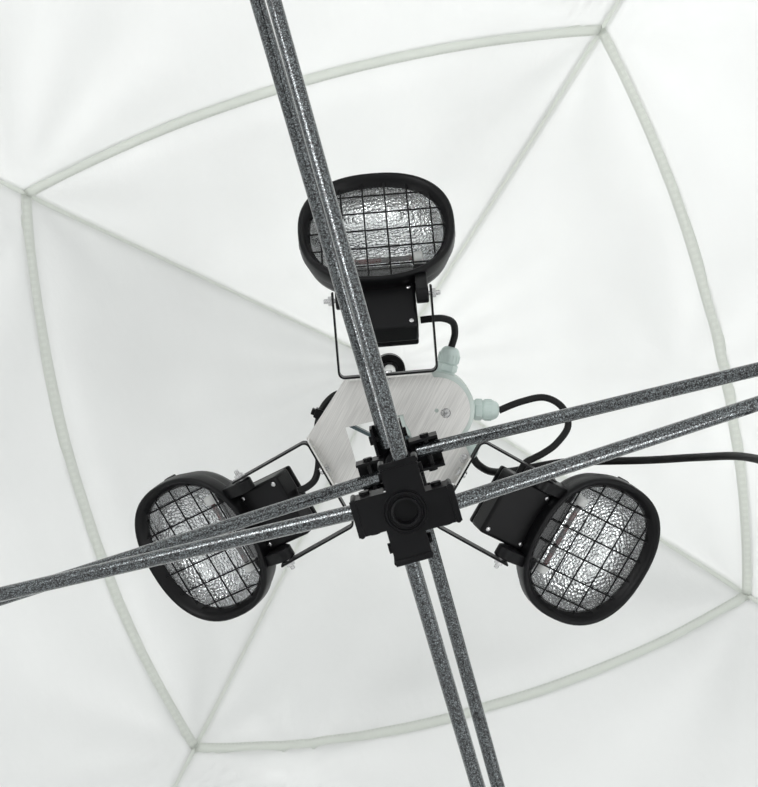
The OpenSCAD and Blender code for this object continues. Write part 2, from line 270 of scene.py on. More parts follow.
def fabric(name, color, pass_through, shade=0.06):
    """Thin woven polyester that lets some daylight through."""
    s = Shader(name, color, 0.75)
    s.bsdf.inputs["Sheen Weight"].default_value = 0.15
    cloud = s.noise(2.2, 4)
    low = tuple(c * (1 - shade) for c in color)
    tone = s.ramp(cloud, [(0.3, low), (0.7, color)])
    s.link(tone, s.bsdf.inputs["Base Color"])
    weave_x = s.add("TexWave", {"Vector": s.coords, "Scale": 330.0, "Distortion": 0.6}, bands_direction="X")
    weave_y = s.add("TexWave", {"Vector": s.coords, "Scale": 330.0, "Distortion": 0.6}, bands_direction="Y")
    threads = {0: weave_x.outputs["Fac"], 1: weave_y.outputs["Fac"]}
    weave = s.add("Math", threads, operation="MULTIPLY").outputs[0]
    crease = s.bump(s.noise(9, 5, s.stretched(1.0, 0.5, 0.7)), 0.34, 0.012)
    normal = s.bump(weave, 0.08, 0.0003, below=crease)
    through = s.add("BsdfTranslucent", {"Color": tone, "Normal": normal})
    both = s.add("MixShader", {0: pass_through, 1: s.bsdf.outputs[0], 2: through.outputs[0]})
    s.link(both.outputs[0], s.tree.nodes["Material Output"].inputs["Surface"])
    return s.mat


def seam_tape(name, color, ladder):
    """Woven tape with a row of stitches near each edge, or a ladder of them across it."""
    s = Shader(name, color, 0.8)
    uv = s.add("UVMap").outputs[0]
    split = s.add("SeparateXYZ", {0: uv})
    along, across = split.outputs[0], split.outputs[1]
    period = 0.0055 if ladder else 0.0035
    phase = s.add("Math", {0: along, 1: period}, operation="PINGPONG").outputs[0]
    dash = s.add("Math", {0: phase, 1: period * 0.45}, operation="GREATER_THAN").outputs[0]
    middle = s.add("Math", {0: across, 1: 0.5}, operation="SUBTRACT").outputs[0]
    off = s.add("Math", {0: middle}, operation="ABSOLUTE").outputs[0]
    rows = s.add("Math", {0: off, 1: 0.24 if ladder else 0.36}, operation="GREATER_THAN").outputs[0]
    if ladder:
        rows = s.add("Math", {0: 1.0, 1: rows}, operation="SUBTRACT").outputs[0]
    stitch = s.add("Math", {0: dash, 1: rows}, operation="MULTIPLY").outputs[0]
    dark = tuple(c * 0.86 for c in color)
    s.link(s.ramp(stitch, [(0.0, color), (1.0, dark)]), s.bsdf.inputs["Base Color"])
    normal = s.bump(stitch, 0.5, 0.0004)
    through = s.add("BsdfTranslucent", {"Color": (*color, 1), "Normal": normal})
    both = s.add("MixShader", {0: 0.72, 1: s.bsdf.outputs[0], 2: through.outputs[0]})
    s.link(both.outputs[0], s.tree.nodes["Material Output"].inputs["Surface"])
    return s.mat


def metal(name, color, rough, grain=300):
    s = Shader(name, color, rough, 1.0)
    s.link(s.grey(s.noise(grain, 3), rough - 0.06, rough + 0.1), s.bsdf.inputs["Roughness"])
    s.bump(s.noise(grain * 2, 2), 0.12, 0.0003)
    return s.mat


def rubber():
    s = Shader("cable_rubber", (0.006, 0.006, 0.006), 0.5)
    s.bsdf.inputs["Specular IOR Level"].default_value = 0.25
    s.bump(s.noise(500, 2), 0.2, 0.0004)
    s.link(s.grey(s.noise(30, 3), 0.42, 0.6), s.bsdf.inputs["Roughness"])
    return s.mat


MATS = {
    "tube": hammered_tube(),
    "black": moulded("hub_nylon", (0.003, 0.003, 0.0035), 0.36, 900, 0.15, 0.16),
    "leg": moulded("leg_powder_coat", (0.60, 0.60, 0.59), 0.5, 1200, 0.25),
    "pole": moulded("pole_coat", (0.62, 0.62, 0.61), 0.4, 1200, 0.2),
    "strip": moulded("strip_powder_coat", (0.006, 0.006, 0.0065), 0.42, 1100, 0.3, 0.2),
    "clamp": moulded("clamp_coat", (0.05, 0.075, 0.08), 0.45, 1000, 0.25),
    "plate": brushed(),
    "enamel": lamp_enamel(),
    "reflector": reflector(),
    "glass": clear_glass(),
    "quartz": quartz(),
    "ceramic": moulded("ceramic_holder", (0.82, 0.81, 0.78), 0.35, 500, 0.1),
    "box": moulded("box_plastic", (0.46, 0.52, 0.49), 0.38, 800, 0.1),
    "gland": moulded("gland_nylon", (0.47, 0.55, 0.52), 0.34, 700, 0.1),
    "screw": metal("screw_steel", (0.62, 0.62, 0.62), 0.25),
    "brass": metal("bolt_brass", (0.62, 0.47, 0.24), 0.3),
    "cable": rubber(),
    "fabric": fabric("roof_polyester", (0.88, 0.885, 0.875), 0.55),
    "tape": seam_tape("seam_tape", (0.90, 0.915, 0.885), False),
    "ladder": seam_tape("ladder_tape", (0.90, 0.915, 0.885), True),
}


# ---------------------------------------------------------------- mesh helpers
def finish_piece(name, bm, mat, body, at=None, slot=None, smooth=40, bevel=0.0, segments=2):
    """Turns a bmesh into a piece in the row frame that rides on body."""
    bmesh.ops.recalc_face_normals(bm, faces=bm.faces)
    mesh = bpy.data.meshes.new(name)
    bm.to_mesh(mesh)
    bm.free()
    if at is not None:
        mesh.transform(at)
    mesh.materials.append(MATS[mat])
    for poly in mesh.polygons:
        poly.use_smooth = True
    mesh.set_sharp_from_angle(angle=math.radians(smooth))
    obj = bpy.data.objects.new(name, mesh)
    bpy.context.scene.collection.objects.link(obj)
    if bevel:
        mod = obj.modifiers.new("edges", "BEVEL")
        mod.width = bevel
        mod.segments = segments
        mod.limit_method = "ANGLE"
        mod.angle_limit = math.radians(35)
    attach(obj, body)
    return obj


def add_loft(bm, rings, close_start=True, close_end=True):
    """Skins a list of rings that all have the same number of points."""
    rows = [[bm.verts.new(p) for p in ring] for ring in rings]
    count = len(rows[0])
    for a, b in zip(rows, rows[1:]):
        for k in range(count):
            bm.faces.new((a[k], a[(k + 1) % count], b[(k + 1) % count], b[k]))
    if close_start:
        bm.faces.new(rows[0][::-1])
    if close_end:
        bm.faces.new(rows[-1])


def add_ring_loft(bm, rings):
    """Skins a closed row of rings."""
    rows = [[bm.verts.new(p) for p in ring] for ring in rings]
    count = len(rows[0])
    for a, b in zip(rows, rows[1:] + rows[:1]):
        for k in range(count):
            bm.faces.new((a[k], a[(k + 1) % count], b[(k + 1) % count], b[k]))


def circle(radius, z, count=32, turn=0.0):
    step = 2 * math.pi / count
    return [Vector((radius * math.cos(k * step + turn), radius * math.sin(k * step + turn), z))
            for k in range(count)]


def add_turned(bm, profile, at=None, count=32, close=True):
    """Revolves (radius, z) pairs about Z, moved by the matrix at."""
    move = at or Matrix.Identity(4)
    add_loft(bm, [[move @ p for p in circle(r, z, count)] for r, z in profile], close, close)


def add_box(bm, low, high, at=None):
    move = at or Matrix.Identity(4)
    corners = [move @ Vector((x, y, z)) for z in (low[2], high[2])
               for x, y in ((low[0], low[1]), (high[0], low[1]), (high[0], high[1]), (low[0], high[1]))]
    add_loft(bm, [corners[:4], corners[4:]])


def spline(points, per_span=6):
    """Points along a Catmull-Rom curve through the given ones."""
    p = [Vector(q) for q in points]
    out = []
    for i in range(len(p) - 1):
        a, b, c, d = p[max(i - 1, 0)], p[i], p[i + 1], p[min(i + 2, len(p) - 1)]
        for k in range(per_span):
            t = k / per_span
            out.append(0.5 * (2 * b + (c - a) * t + (2 * a - 5 * b + 4 * c - d) * t * t
                              + (3 * b - a - 3 * c + d) * t ** 3))
    return out + [p[-1]]


def add_tube(bm, points, radius, sides=10):
    """Round tube along points, with its rings carried along without twist."""
    normal = None
    rings = []
    for i, point in enumerate(points):
        ahead = (points[min(i + 1, len(points) - 1)] - points[max(i - 1, 0)]).normalized()
        if normal is None:
            normal = ahead.orthogonal().normalized()
        normal = (normal - ahead * normal.dot(ahead)).normalized()
        side = ahead.cross(normal)
        rings.append([point + radius * (math.cos(2 * math.pi * k / sides) * normal
                                        + math.sin(2 * math.pi * k / sides) * side) for k in range(sides)])
    add_loft(bm, rings)


def along(point, direction):
    """Matrix that puts local Z along direction, with its origin at point."""
    turn = Vector(direction).to_track_quat("Z", "Y").to_matrix().to_4x4()
    return Matrix.Translation(point) @ turn


def add_screw(bm, at, radius=0.004, height=0.0025):
    """Domed head, standing up local Z from the surface at the matrix."""
    add_turned(bm, [(radius, 0), (radius, height * 0.5), (radius * 0.8, height * 0.9), (radius * 0.35, height)],
               at, 20)


# ---------------------------------------------------------------- cords, before the rest
CORD_ROUTE = [(-88, -40.5, 2187), (-92, -51, 2188), (-105, -66, 2203), (-129, -77, 2226), (-162, -83, 2242),
              (-201, -87, 2240), (-246, -95, 2220), (-302, -101, 2172), (-352, -101, 2110), (-387, -95, 2020),
              (-402, -92, 1900), (-408, -92, 1700), (-410, -92, 1400), (-410, -96, 1000), (-410, -100, 600),
              (-410, -106, 250), (-410, -118, 90), (-408, -142, 22), (-404, -180, 7), (-402, -230, 5.5),
              (-402, -270, 5.5)]
COIL_CENTRE = Vector((-0.322, -0.300, 0.0))
COIL_OUTER = 0.080
COIL_INNER = 0.0535
COIL_TURNS = 5.25
PLUG_AT = Vector((-0.254, -0.380, 0.019))


def coil_points(turns):
    """In along the floor and out again on top, ending on the -Y side with the cord heading +X."""
    total = turns * 2 * math.pi
    count = int(turns * 28)
    points = []
    for k in range(count + 1):
        share = k / count
        angle = math.pi + total * share
        inward = 1 - abs(2 * share - 1)
        radius = COIL_OUTER - (COIL_OUTER - COIL_INNER) * inward
        climb = min(1.0, max(0.0, (share - 0.46) / 0.08))
        height = 0.0055 + 0.0100 * climb * climb * (3 - 2 * climb)
        points.append(COIL_CENTRE + Vector((radius * math.cos(angle), radius * math.sin(angle), height)))
    return points


def make_supply_cord():
    route = spline([Vector(p) * 0.001 for p in CORD_ROUTE], 6)
    tail = spline([COIL_CENTRE + Vector((0.0, -COIL_OUTER, 0.0155)), PLUG_AT + Vector((-0.050, 0, -0.0025)),
                   PLUG_AT + Vector((-0.035, 0, -0.0008)), PLUG_AT + Vector((-0.024, 0, 0))], 6)
    points = route + coil_points(COIL_TURNS) + tail[1:]
    curve = bpy.data.curves.new("supply_cord_line", "CURVE")
    curve.dimensions = "3D"
    line = curve.splines.new("POLY")
    line.points.add(len(points) - 1)
    for target, point in zip(line.points, points):
        target.co = (*point, 1)
    curve.bevel_depth = CORD_D / 2
    curve.bevel_resolution = 3
    curve.use_fill_caps = True
    curve.materials.append(MATS["cable"])
    cable = bpy.data.objects.new("supply_cable", curve)
    bpy.context.scene.collection.objects.link(cable)
    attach(cable, "head")
    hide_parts("supply_cord")

    bm = bmesh.new()
    inlet = along(PLUG_AT + Vector((-0.0235, 0, 0)), (1, 0, 0))
    add_turned(bm, [(0.0062, 0), (0.0070, 0.004), (0.0066, 0.006), (0.0078, 0.011), (0.0074, 0.013), (0.009, 0.0215),
                    (0.0165, 0.023), (0.0188, 0.027), (0.0188, 0.058), (0.0172, 0.0635)], inlet)
    for k in range(12):
        rib = inlet @ Matrix.Rotation(2 * math.pi * k / 12, 4, "Z")
        add_box(bm, (0.0182, -0.0012, 0.030), (0.0190, 0.0012, 0.054), rib)
    plug = finish_piece("plug_body", bm, "black", "head", slot="plug_plastic")
    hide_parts("cord_plug")
    bm = bmesh.new()
    for y in (-0.0095, 0.0095):
        pin = along(PLUG_AT + Vector((0.0395, y, 0)), (1, 0, 0))
        add_turned(bm, [(0.0024, 0), (0.0024, 0.017), (0.0014, 0.0188)], pin, 20)
    pins = finish_piece("plug_pins", bm, "screw", "head", slot="plug_plastic")
    bm = bmesh.new()
    tie_at = COIL_CENTRE + Vector((0.0, (COIL_OUTER + COIL_INNER) / 2, 0.0105))
    rings = []
    for k in range(32):
        a = 2 * math.pi * k / 32
        around = Vector((0.0, math.copysign(abs(math.cos(a)) ** 0.6, math.cos(a)),
                         math.copysign(abs(math.sin(a)) ** 0.6, math.sin(a))))
        inner = tie_at + Vector((0, around.y * 0.0188, around.z * 0.0103))
        outer = tie_at + Vector((0, around.y * 0.0200, around.z * 0.0112))
        outer.z, inner.z = max(outer.z, 0.0001), max(inner.z, 0.0004)
        rings.append([inner + Vector((-0.009, 0, 0)), inner + Vector((0.009, 0, 0)),
                      outer + Vector((0.009, 0, 0)), outer + Vector((-0.009, 0, 0))])
    add_ring_loft(bm, rings)
    tie = finish_piece("coil_tie", bm, "cable", "head", slot="cable_rubber")


LEADS = (
    [(-72, 122, 27), (-76, 138, 25), (-73, 153, 17), (-60, 159, 9), (-44, 158.5, 6), (-32, 157, 5.4)],
    [(27, 44, 27), (48, 56, 28), (70, 62, 25), (88, 48, 18), (96, 26, 11), (96, 2, 8), (95, -24, 8),
     (99, -44, 7), (109, -54, 4), (121, -59, 2)],
    [(-133, 41, 27), (-160, 52, 27), (-190, 58, 26), (-213, 46, 25), (-221, 22, 24), (-207, 0, 23),
     (-191, -12, 21), (-178, -18.5, 18.5), (-167.3, -24.1, 16.3), (-160.2, -35.1, 15.1), (-158.2, -38.6, 14.8)],
)


def make_leads():
    leads = []
    for number, route in enumerate(LEADS, 1):
        bm = bmesh.new()
        add_tube(bm, [KIT @ p for p in spline([Vector(q) * 0.001 for q in route], 8)], LEAD_D / 2, 14)
        leads.append(finish_piece("lamp_lead_%d" % number, bm, "cable", "head", slot="cable_rubber"))
    for lead in leads:
        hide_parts("lamp_leads")
    # Small strap that holds the second lead against the plate's edge
    bm = bmesh.new()
    here = KIT @ Matrix.Translation((0.093, 0.037, 0.0145)) @ Matrix.Rotation(math.radians(-70), 4, "Z")
    add_box(bm, (-0.006, -0.0075, -0.0085), (0.006, 0.0075, 0.0085), here)
    add_box(bm, (-0.004, -0.018, -0.0115), (0.004, -0.006, -0.0075), here)
    add_box(bm, (-0.004, 0.006, -0.004), (0.004, 0.012, 0.007), here)
    finish_piece("lead_clip", bm, "black", "head", slot="black_plastic", bevel=0.001)


# ---------------------------------------------------------------- canopy
def roof_height(reach):
    """Height of the taut roof at a distance from the axis, rounded a little over the seam."""
    rise_out = (SEAM_LEVEL - EAVE_LEVEL) / (EAVE_HALF - SEAM_HALF)
    rise_in = (PEAK_LEVEL - SEAM_LEVEL) / (SEAM_HALF - PEAK_HALF)
    outer = EAVE_LEVEL + (EAVE_HALF - reach) * rise_out
    inner = SEAM_LEVEL + (SEAM_HALF - reach) * rise_in
    soft = 0.02
    return max(outer, inner) - soft * math.exp(-((reach - SEAM_HALF) / 0.05) ** 2) * 0.15


PULLS = [(x * SEAM_HALF, y * SEAM_HALF, 0.0100, 0.36, 11) for x in (-1, 1) for y in (-1, 1)]
PULLS += [(x * EAVE_HALF, y * EAVE_HALF, 0.0110, 0.50, 9) for x in (-1, 1) for y in (-1, 1)]
PULLS += [(0.0, 0.0, 0.0050, 0.30, 24), (-0.45, -0.10, 0.0060, 0.32, 9), (0.30, -0.52, 0.0065, 0.34, 8)]


def wrinkle(x, y):
    """Depth of the folds that the seams' corners pull into the cloth, and its soft unevenness."""
    depth = 0.0
    for px, py, size, spread, folds in PULLS:
        dx, dy = x - px, y - py
        away = math.hypot(dx, dy)
        if away > 3 * spread:
            continue
        bend = 1.2 * noise.noise(Vector((x * 2.3, y * 2.3, px + 3)))
        wave = math.sin(folds * math.atan2(dy, dx) + 2.2 * bend + 4 * px)
        depth += size * (away / (away + 0.06)) * math.exp(-(away / spread) ** 2) * wave
    depth += 0.010 * noise.noise(Vector((x * 1.7, y * 1.7, 5.0)))
    ridge = 1 - abs(noise.noise(Vector((x * 5.5 + 9, y * 2.6, 1.0)))) * 2
    depth += 0.0048 * ridge + 0.0016 * noise.noise(Vector((x * 15, y * 15, 2.0)))
    return depth


def roof_point(side, across, outward):
    """Point of one gore: across from -1 to 1 between its hips, outward from 0 at the peak to 1 at the eave."""
    seam_at = 0.40
    bow = SEAM_BOW * (1 - across * across)
    if outward <= seam_at:
        share = outward / seam_at
        hip = PEAK_HALF + (SEAM_HALF - PEAK_HALF) * share
        reach = hip + bow * share
    else:
        share = (outward - seam_at) / (1 - seam_at)
        hip = SEAM_HALF + (EAVE_HALF - SEAM_HALF) * share
        reach = hip + bow * (1 - share)
    x, y = reach, across * hip
    angle = side * math.pi / 2
    gx, gy = x * math.cos(angle) - y * math.sin(angle), x * math.sin(angle) + y * math.cos(angle)
    edge = min(1.0, (1 - outward) / 0.05)
    hold = min(1.0, outward / 0.06)
    between = 1 - across ** 4
    sag = 0.020 * between * math.sin(math.pi * outward) ** 1.0
    z = roof_height(reach) - 0.0035 - sag - edge * hold * abs(0.4 + 0.6 * between) * (0.012 + wrinkle(gx, gy))
    return Vector((gx, gy, z))


def make_roof():
    across_n, out_n = 96, 110
    bm = bmesh.new()
    for side in range(4):
        rows = [[bm.verts.new(roof_point(side, -1 + 2 * i / across_n, j / out_n)) for i in range(across_n + 1)]
                for j in range(out_n + 1)]
        for j in range(out_n):
            for i in range(across_n):
                bm.faces.new((rows[j][i], rows[j][i + 1], rows[j + 1][i + 1], rows[j + 1][i]))
    bmesh.ops.remove_doubles(bm, verts=bm.verts, dist=0.0004)
    cap = [v for v in bm.verts if max(abs(v.co.x), abs(v.co.y)) < PEAK_HALF + 0.0002]
    cap.sort(key=lambda v: math.atan2(v.co.y, v.co.x))
    bm.faces.new(cap)
    roof = finish_piece("canopy_roof", bm, "fabric", "head", slot="white_fabric", smooth=60)
    mod = roof.modifiers.new("cloth", "SOLIDIFY")
    mod.thickness = 0.0012
    mod.offset = 0
    return roof


def strip_along(name, points, normal_of, width, mat, lift=0.0020):
    """Tape of the given width along points, just under the cloth, with its length in metres as U."""
    bm = bmesh.new()
    layer = bm.loops.layers.uv.new("UVMap")
    rows, run = [], 0.0
    for i, point in enumerate(points):
        ahead = (points[min(i + 1, len(points) - 1)] - points[max(i - 1, 0)]).normalized()
        up = normal_of(point)
        side = ahead.cross(up).normalized() * (width / 2)
        if i:
            run += (point - points[i - 1]).length
        base = point - up * lift
        rows.append(([bm.verts.new(base - side), bm.verts.new(base - up * 0.0006), bm.verts.new(base + side)], run))
    for (a, start), (b, end) in zip(rows, rows[1:]):
        for k in range(2):
            face = bm.faces.new((a[k], a[k + 1], b[k + 1], b[k]))
            for loop, uv in zip(face.loops, ((start, k / 2), (start, (k + 1) / 2), (end, (k + 1) / 2), (end, k / 2))):
                loop[layer].uv = uv
    tape = finish_piece(name, bm, mat, "head", slot="white_fabric", smooth=70)
    mod = tape.modifiers.new("cloth", "SOLIDIFY")
    mod.thickness = 0.0008
    mod.offset = 0
    return tape


def roof_normal(point):
    return Vector((point.x * 0.4, point.y * 0.4, 1.0)).normalized()


def make_tapes():
    tapes = []
    for side in range(4):
        hip = [roof_point(side, 1.0, 0.02 + 0.98 * j / 110) for j in range(111)]
        tapes.append(strip_along("hip_tape_%d" % (side + 1), hip, roof_normal, 0.017, "tape"))
        seam = [roof_point(side, -1 + 2 * i / 96, 0.40) for i in range(97)]
        kind = "ladder" if side in (0, 2) else "tape"
        tapes.append(strip_along("ring_tape_%d" % (side + 1), seam, roof_normal, 0.018, kind, 0.0032))
    return tapes


def make_valance():
    """One wall round the eaves, with a soft wave."""
    per_side, down = 90, 12
    corners = [(1, -1), (1, 1), (-1, 1), (-1, -1)]
    ring = []
    for side in range(4):
        (ax, ay), (bx, by) = corners[side], corners[(side + 1) % 4]
        for k in range(per_side):
            t = k / per_side
            ring.append((ax + (bx - ax) * t, ay + (by - ay) * t, math.sin(math.pi * t)))
    bm = bmesh.new()
    rows = []
    for j in range(down + 1):
        fall = j / down
        row = []
        for x, y, free in ring:
            wave = 0.006 * free * fall * noise.noise(Vector((x * 7, y * 7, 1.7))) - 0.002
            swell = (EAVE_HALF + wave) * 1.0
            z = EAVE_LEVEL - 0.004 - (EAVE_LEVEL - HEM_LEVEL - 0.004) * fall
            row.append(bm.verts.new((x * swell, y * swell, z)))
        rows.append(row)
    count = len(ring)
    for a, b in zip(rows, rows[1:]):
        for k in range(count):
            bm.faces.new((a[k], a[(k + 1) % count], b[(k + 1) % count], b[k]))
    wall = finish_piece("canopy_valance", bm, "fabric", "head", slot="white_fabric", smooth=60)
    mod = wall.modifiers.new("cloth", "SOLIDIFY")
    mod.thickness = 0.0012
    mod.offset = 0
    return wall


def make_canopy():
    roof = make_roof()
    tapes = make_tapes()
    wall = make_valance()
    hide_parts("canopy_ew", "canopy_ns")


# ---------------------------------------------------------------- lamps
def oval(half_h, half_w, z, shift=0.0, count=64, power=2.35):
    """Ring between an ellipse and a rectangle: half_h along X, half_w along Y."""
    ring = []
    for k in range(count):
        a = 2 * math.pi * k / count
        c, s = math.cos(a), math.sin(a)
        ring.append(Vector((shift + half_h * math.copysign(abs(c) ** (2 / power), c),
                            half_w * math.copysign(abs(s) ** (2 / power), s), z)))
    return ring


def lamp_matrix(i):
    at_yoke = KIT @ Matrix.Rotation(math.radians(YOKE_TURNS[i]), 4, "Z")
    return at_yoke @ Matrix.Translation((LAMP_PIVOT, 0, -PIVOT_DROP)) @ Matrix.Rotation(
        math.radians(-LAMP_TILTS[i]), 4, "Y")


def lamp_rings(profile, shift=RIM_REACH):
    """Oval rings from (inset, z) pairs, measured from the rim's outside."""
    return [oval(RIM_HALF_H - inset, RIM_HALF_W - inset, z, shift) for inset, z in profile]


def make_lamp(i):
    here, body = lamp_matrix(i), "lamp_%d" % (i + 1)

    def put(name, bm, mat, **more):
        return finish_piece("lamp%d_%s" % (i + 1, name), bm, mat, body, here, slot="lamp_black", **more)

    # Housing: outer skin and inner skin joined round the glass seat
    bm = bmesh.new()
    outside = [(0.0150, 0.0060), (0.0128, 0.0052), (0.0098, -0.0020), (0.0062, -0.0068), (0.0042, -0.0080),
               (0.0018, -0.0078), (0.0004, -0.0062), (0.0, -0.003), (0.0, 0.012), (0.0010, 0.0140),
               (0.0030, 0.0150), (0.0036, 0.0175), (0.0050, 0.030), (0.0075, 0.0385), (0.0130, 0.0425)]
    back = [(0.74, 0.0440, -0.002), (0.70, 0.060, -0.004), (0.64, 0.074, -0.004), (0.60, 0.0795, -0.004),
            (0.54, 0.0815, -0.004)]
    rings = lamp_rings(outside)
    rings += [oval(RIM_HALF_H * k, RIM_HALF_W * k * 1.04, z, RIM_REACH + dx) for k, z, dx in back]
    add_loft(bm, rings, close_start=False)
    housing = put("housing", bm, "enamel", smooth=50)
    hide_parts(body)
    # Cooling ribs across the back
    bm = bmesh.new()
    for k in range(-4, 5):
        y = 0.0125 * k
        reach = RIM_HALF_H * 0.62 * math.sqrt(max(0.05, 1 - (y / (RIM_HALF_W * 0.70)) ** 2))
        add_box(bm, (RIM_REACH - 0.004 - reach, y - 0.0012, 0.060),
                (RIM_REACH - 0.004 + reach, y + 0.0012, 0.0820))
    put("ribs", bm, "enamel", bevel=0.0008)

    bm = bmesh.new()
    dish = [(0.0138, 0.0080), (0.0150, 0.013), (0.0190, 0.022), (0.0280, 0.0315), (0.0430, 0.0375),
            (0.0600, 0.0395)]
    add_loft(bm, lamp_rings(dish), close_start=False)
    put("reflector", bm, "reflector", smooth=80)
    bm = bmesh.new()
    add_loft(bm, lamp_rings([(0.0126, 0.0052), (0.0126, 0.0078)]))
    put("glass", bm, "glass")

    # Wire guard
    bm = bmesh.new()
    inside_h, inside_w, level = RIM_HALF_H - 0.0118, RIM_HALF_W - 0.0118, 0.0034
    pitch, wire = 0.0285, 0.0011

    def half_span(offset, half, other):
        return other * (1 - (abs(offset) / half) ** 2.35) ** (1 / 2.35)

    for k in range(-2, 3):
        x = k * pitch
        reach = half_span(x, inside_h, inside_w)
        add_tube(bm, [Vector((RIM_REACH + x, side * reach, level)) for side in (-1, 1)], wire, 8)
    for k in range(-3, 3):
        y = (k + 0.5) * pitch
        reach = half_span(y, inside_w, inside_h)
        ends = [Vector((RIM_REACH + side * reach, y, level - 0.0018)) for side in (-1, 1)]
        add_tube(bm, ends, wire, 8)
    put("guard", bm, "strip")

    # Burner and its holders, on the pivot side of the dish
    burner_x, burner_z = RIM_REACH - 0.038, 0.019
    bm = bmesh.new()
    add_turned(bm, [(0.0012, -0.047), (0.0032, -0.043), (0.0036, -0.038), (0.0036, 0.038), (0.0032, 0.043),
                    (0.0012, 0.047)], along((burner_x, 0, burner_z), (0, 1, 0)), 20)
    put("burner", bm, "quartz")
    bm = bmesh.new()
    for end in (-1, 1):
        holder = along((burner_x, end * 0.044, burner_z), (0, end, 0))
        add_turned(bm, [(0.0060, 0), (0.0078, 0.0012), (0.0078, 0.0105), (0.0060, 0.0120)], holder, 20)
        add_box(bm, (burner_x - 0.006, end * 0.050 - 0.005, burner_z + 0.002),
                (burner_x + 0.006, end * 0.050 + 0.005, 0.036))
    put("holders", bm, "ceramic", bevel=0.0006)

    # Terminal box with its lid
    bm = bmesh.new()
    add_box(bm, (-0.038, -0.042, 0.0125), (0.060, 0.042, 0.046))
    put("terminal_box", bm, "enamel", bevel=0.004, segments=3)
    bm = bmesh.new()
    add_box(bm, (-0.0375, -0.0415, 0.0468), (0.0595, 0.0415, 0.0556))
    put("terminal_lid", bm, "black", bevel=0.003, segments=3)
    bm = bmesh.new()
    for x, y in ((-0.030, -0.034), (-0.030, 0.034), (0.022, -0.034), (0.022, 0.034)):
        add_screw(bm, along((x, y, 0.0556), (0, 0, 1)), 0.0034, 0.0018)
        add_screw(bm, along((x, y, 0.0125), (0, 0, -1)), 0.0030, 0.0014)
    put("box_screws", bm, "screw")
    # Shoulders that carry the pivots, rounded about the axis
    bm = bmesh.new()
    nose = [Vector((0.0115 * math.cos(a), 0, 0.0115 * math.sin(a))) for a in
            (math.radians(125 + 15 * k) for k in range(11))]
    outline = nose + [Vector((0.030, 0, -0.0020)), Vector((0.052, 0, 0.006)), Vector((0.062, 0, 0.036)),
                      Vector((0.030, 0, 0.034)), Vector((0.004, 0, 0.020))]
    for end in (-1, 1):
        near, far = end * 0.0425, end * (YOKE_HALF - 0.0045)
        slim = [p * 0.93 + Vector((0.0012, 0, 0.0008)) for p in outline]
        add_loft(bm, [[p + Vector((0, y, 0)) for p in shape] for shape, y in
                      ((outline, near), (outline, far - end * 0.0015), (slim, far))])
    put("shoulders", bm, "enamel", bevel=0.0012)
    bm = bmesh.new()
    for end in (-1, 1):
        bolt = along((0, end * (YOKE_HALF - 0.0088), 0), (0, end, 0))
        add_turned(bm, [(0.0029, 0), (0.0029, 0.0090)], bolt, 20)
        add_loft(bm, [[bolt @ p for p in circle(0.0064, z, 6)] for z in (0.0092, 0.0134)])
        add_turned(bm, [(0.0029, 0.0135), (0.0029, 0.0185), (0.0022, 0.0192)], bolt, 16)
        washer = along((0, end * (YOKE_HALF + 0.0001), 0), (0, end, 0))
        add_turned(bm, [(0.0078, 0), (0.0078, 0.0003)], washer, 24)
    put("pivot_bolts", bm, "screw", bevel=0.0004)
    # Clips that hold the bezel to the housing
    bm = bmesh.new()
    for x, y in ((RIM_REACH, RIM_HALF_W - 0.0035), (RIM_REACH, 0.0035 - RIM_HALF_W),
                 (RIM_REACH + RIM_HALF_H - 0.0035, 0.0)):
        add_box(bm, (x - 0.007, y - 0.004, 0.0135), (x + 0.007, y + 0.004, 0.024))
    put("bezel_clips", bm, "strip", bevel=0.0012)


# ---------------------------------------------------------------- kit details
def make_junction_box():
    bm = bmesh.new()
    centre = KIT @ Matrix.Translation(BOX_CENTRE)
    add_turned(bm, [(BOX_R - 0.004, 0.0024), (BOX_R - 0.0008, 0.0036), (BOX_R, 0.006), (BOX_R, 0.0385),
                    (BOX_R - 0.0012, 0.0395), (BOX_R - 0.0012, 0.0405), (BOX_R, 0.0415), (BOX_R, 0.048),
                    (BOX_R - 0.003, 0.0515), (BOX_R - 0.010, 0.0521)], centre, 72)
    box = finish_piece("box_shell", bm, "box", "head", slot="box_plastic", smooth=35)
    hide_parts("junction_box")
    bm = bmesh.new()
    for turn in (20, 140, 260):
        a = math.radians(turn)
        spot = (0.040 * math.cos(a), 0.040 * math.sin(a), 0.052)
        add_screw(bm, centre @ Matrix.Translation(spot), 0.0036, 0.002)
    finish_piece("box_lid_screws", bm, "screw", "head", slot="box_plastic")
    for number, turn in enumerate(GLAND_TURNS, 1):
        a = math.radians(turn)
        out = Vector((math.cos(a), math.sin(a), 0))
        at = KIT @ along(BOX_CENTRE + out * BOX_R + Vector((0, 0, GLAND_LEVEL)), out)
        bm = bmesh.new()
        add_turned(bm, [(0.0122, -0.004), (0.0122, 0.0014)], at, 40)
        add_loft(bm, [[at @ p for p in circle(r, z, 6)] for r, z in
                      ((0.0130, 0.0014), (0.0140, 0.0022), (0.0140, 0.0098), (0.0130, 0.0106))])
        add_turned(bm, [(0.0115, 0.0106), (0.0130, 0.0122), (0.0134, 0.0140), (0.0132, 0.0230), (0.0108, 0.0285),
                        (0.0082, 0.0312), (0.0062, 0.0320), (0.0052, 0.0322)], at, 40)
        for k in range(16):
            rib = at @ Matrix.Rotation(2 * math.pi * k / 16, 4, "Z")
            add_box(bm, (0.0126, -0.0009, 0.0138), (0.0139, 0.0009, 0.0226), rib)
        finish_piece("gland_%d" % number, bm, "gland", "head", slot="box_plastic", smooth=35)


